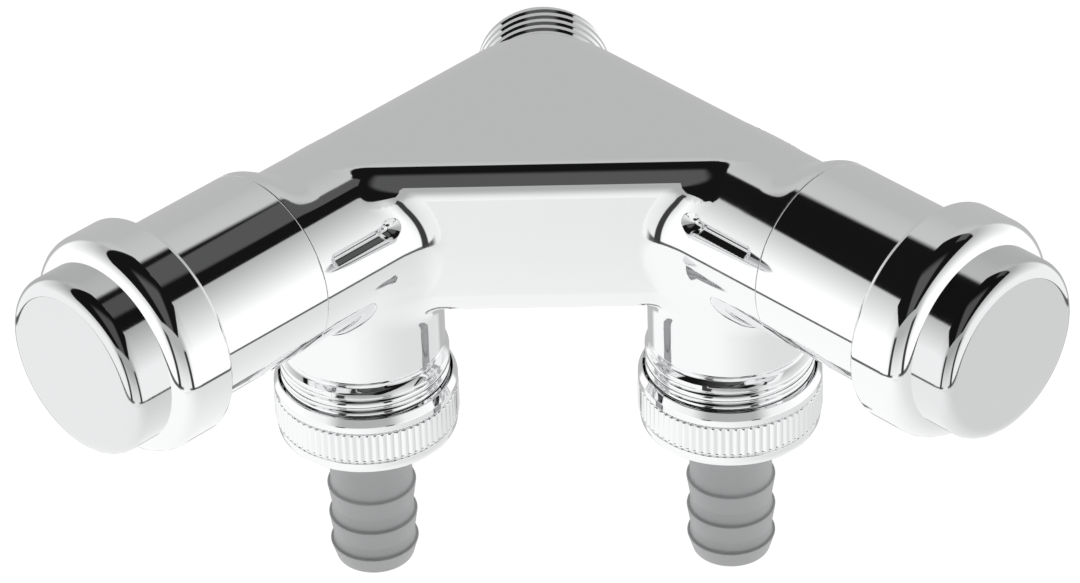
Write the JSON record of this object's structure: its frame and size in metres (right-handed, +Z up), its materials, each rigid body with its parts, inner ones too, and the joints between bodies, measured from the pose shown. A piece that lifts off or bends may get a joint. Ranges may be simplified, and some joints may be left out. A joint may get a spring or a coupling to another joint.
{
  "type": "washing machine valve",
  "caption": "Wall-fed chrome valve that splits one supply into two arms at right angles, each with a round knob and a hose tail below it.",
  "frame": {"origin": "centre of the end face of the wall thread", "axes": "+Y along the wall thread into the wall, +X to the right as seen from the front, +Z up"},
  "size_m": [0.1556, 0.0913, 0.0828],
  "materials": {
    "chrome": "polished plating",
    "brass": "turned",
    "rubber": "matt",
    "steel": "bright",
    "grey_plastic": "moulded",
    "white_plastic": "moulded"
  },
  "bodies": {
    "valve": {"body": "chrome", "left_sleeve": "chrome", "left_bonnet": "brass", "left_bonnet_seal": "rubber", "left_check_housing": "white_plastic", "left_check_seal": "rubber", "left_check_spring": "steel", "right_sleeve": "chrome", "right_bonnet": "brass", "right_bonnet_seal": "rubber", "right_check_housing": "white_plastic", "right_check_seal": "rubber", "right_check_spring": "steel"},
    "left_knob": {"left_knob_ring": "chrome", "left_knob_cap": "chrome", "left_knob_screw": "steel", "left_spindle": "brass", "left_spindle_clip": "steel", "left_spindle_seal_lower": "rubber", "left_spindle_seal_upper": "rubber"},
    "left_plunger_set": {"left_plunger": "brass", "left_seat_washer": "rubber", "left_washer_screw": "steel"},
    "left_poppet": {"left_check_poppet": "white_plastic"},
    "left_tail": {"left_hose_tail": "grey_plastic", "left_hose_gasket": "rubber"},
    "left_nut": {"left_union_nut": "chrome"},
    "right_knob": {"right_knob_ring": "chrome", "right_knob_cap": "chrome", "right_knob_screw": "steel", "right_spindle": "brass", "right_spindle_clip": "steel", "right_spindle_seal_lower": "rubber", "right_spindle_seal_upper": "rubber"},
    "right_plunger_set": {"right_plunger": "brass", "right_seat_washer": "rubber", "right_washer_screw": "steel"},
    "right_poppet": {"right_check_poppet": "white_plastic"},
    "right_tail": {"right_hose_tail": "grey_plastic", "right_hose_gasket": "rubber"},
    "right_nut": {"right_union_nut": "chrome"}
  },
  "joints": [
    {"name": "left_knob_turn", "type": "hinge", "parent": "valve", "child": "left_knob", "pos_m": [-0.0601, -0.07356, 0], "axis": [-0.7071, -0.7071, 0], "range_deg": [0, 900]},
    {"name": "left_plunger_lift", "type": "slide", "parent": "valve", "child": "left_plunger_set", "axis": [-0.7071, -0.7071, 0], "range_m": [0, 0.005]},
    {"name": "left_check_open", "type": "slide", "parent": "valve", "child": "left_poppet", "axis": [0, 0, -1], "range_m": [0, 0.003], "stiffness_N_per_m": 60, "springref_m": -0.004, "deforming": ["left_check_spring"]},
    {"name": "left_tail_drop", "type": "slide", "parent": "valve", "child": "left_tail", "axis": [0, 0, -1], "range_m": [0, 0.0091]},
    {"name": "left_nut_turn", "type": "hinge", "parent": "left_tail", "child": "left_nut", "pos_m": [-0.02836, -0.04181, -0.035], "axis": [0, 0, -1], "range_deg": [0, 1800]},
    {"name": "right_knob_turn", "type": "hinge", "parent": "valve", "child": "right_knob", "pos_m": [0.0601, -0.07356, 0], "axis": [0.7071, -0.7071, 0], "range_deg": [0, 900]},
    {"name": "right_plunger_lift", "type": "slide", "parent": "valve", "child": "right_plunger_set", "axis": [0.7071, -0.7071, 0], "range_m": [0, 0.005]},
    {"name": "right_check_open", "type": "slide", "parent": "valve", "child": "right_poppet", "axis": [0, 0, -1], "range_m": [0, 0.003], "stiffness_N_per_m": 60, "springref_m": -0.004, "deforming": ["right_check_spring"]},
    {"name": "right_tail_drop", "type": "slide", "parent": "valve", "child": "right_tail", "axis": [0, 0, -1], "range_m": [0, 0.0091]},
    {"name": "right_nut_turn", "type": "hinge", "parent": "right_tail", "child": "right_nut", "pos_m": [0.02836, -0.04181, -0.035], "axis": [0, 0, -1], "range_deg": [0, 1800]}
  ],
  "couplings": [
    {"joint": "left_plunger_lift", "follows": "left_knob_turn", "m_per_rad": 0.0003183},
    {"joint": "left_tail_drop", "follows": "left_nut_turn", "m_per_rad": 0.00028871},
    {"joint": "right_plunger_lift", "follows": "right_knob_turn", "m_per_rad": 0.0003183},
    {"joint": "right_tail_drop", "follows": "right_nut_turn", "m_per_rad": 0.00028871}
  ]
}
